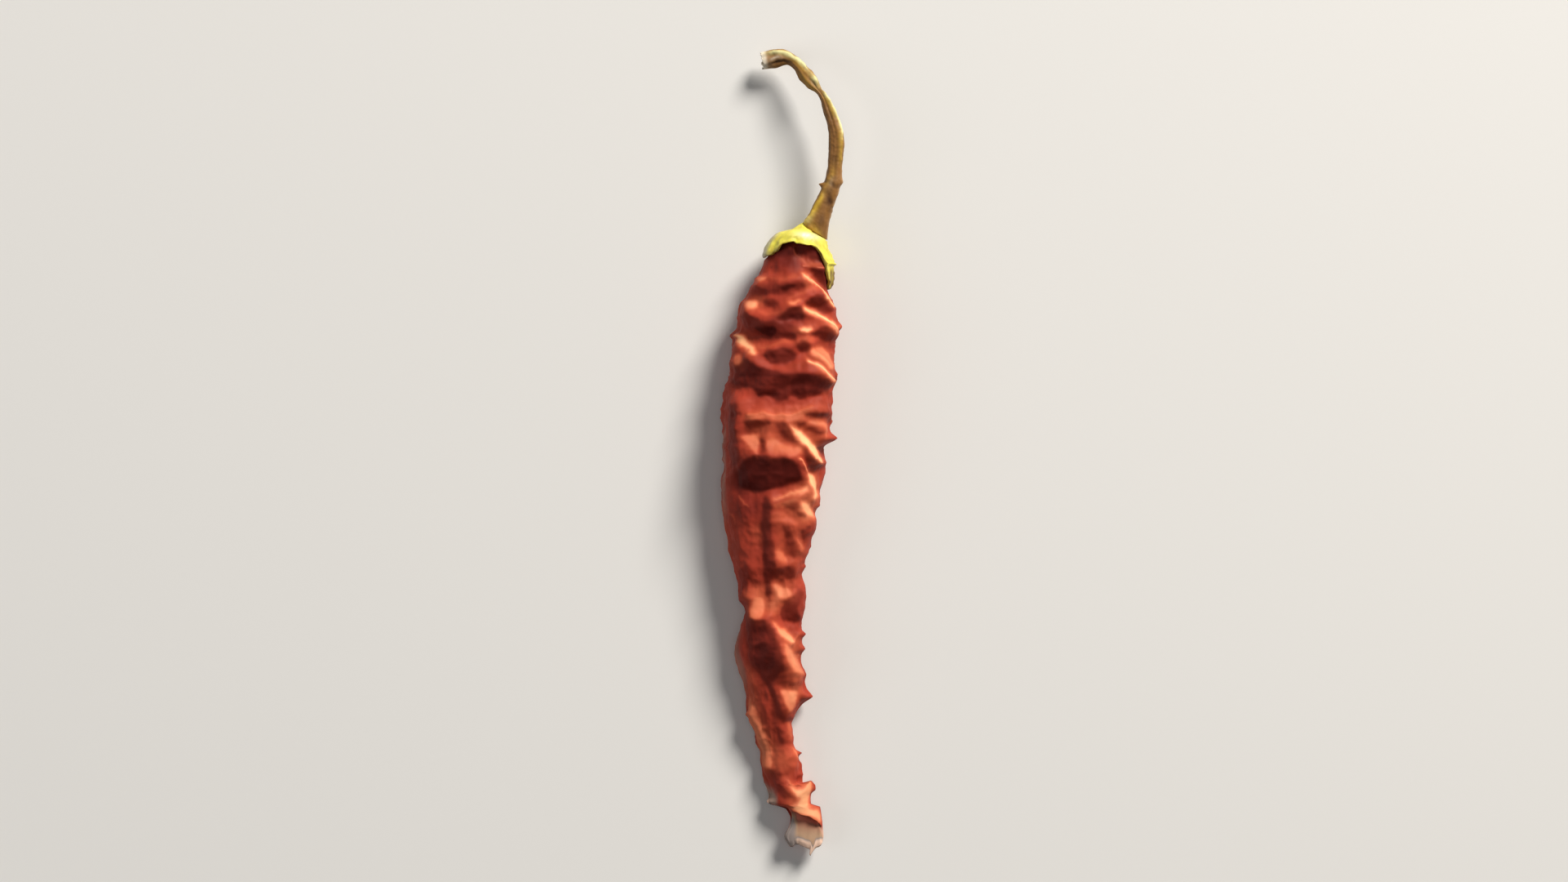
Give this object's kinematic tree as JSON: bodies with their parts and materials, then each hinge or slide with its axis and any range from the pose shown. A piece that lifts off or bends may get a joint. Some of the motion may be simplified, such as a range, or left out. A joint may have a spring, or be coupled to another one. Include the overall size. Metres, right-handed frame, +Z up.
{
  "type": "dried chilli pepper",
  "caption": "Dried red chilli pepper lying on its side: a wrinkled tapering pod torn open at the tip, a small calyx cap and a curved flattened stem.",
  "frame": {"origin": "under the middle of the whole pepper's box, on the surface it lies on", "axes": "+Y from the pod's tip towards the stem, +X across the pod, +Z up from the surface"},
  "size_m": [0.0186, 0.1226, 0.0103],
  "materials": {
    "pod_skin": "satin, wrinkled",
    "calyx": "matt, fibrous",
    "stem": "matt, fibrous"
  },
  "bodies": {
    "root": {"pod": "pod_skin", "calyx": "calyx", "stem": "stem"}
  },
  "joints": []
}
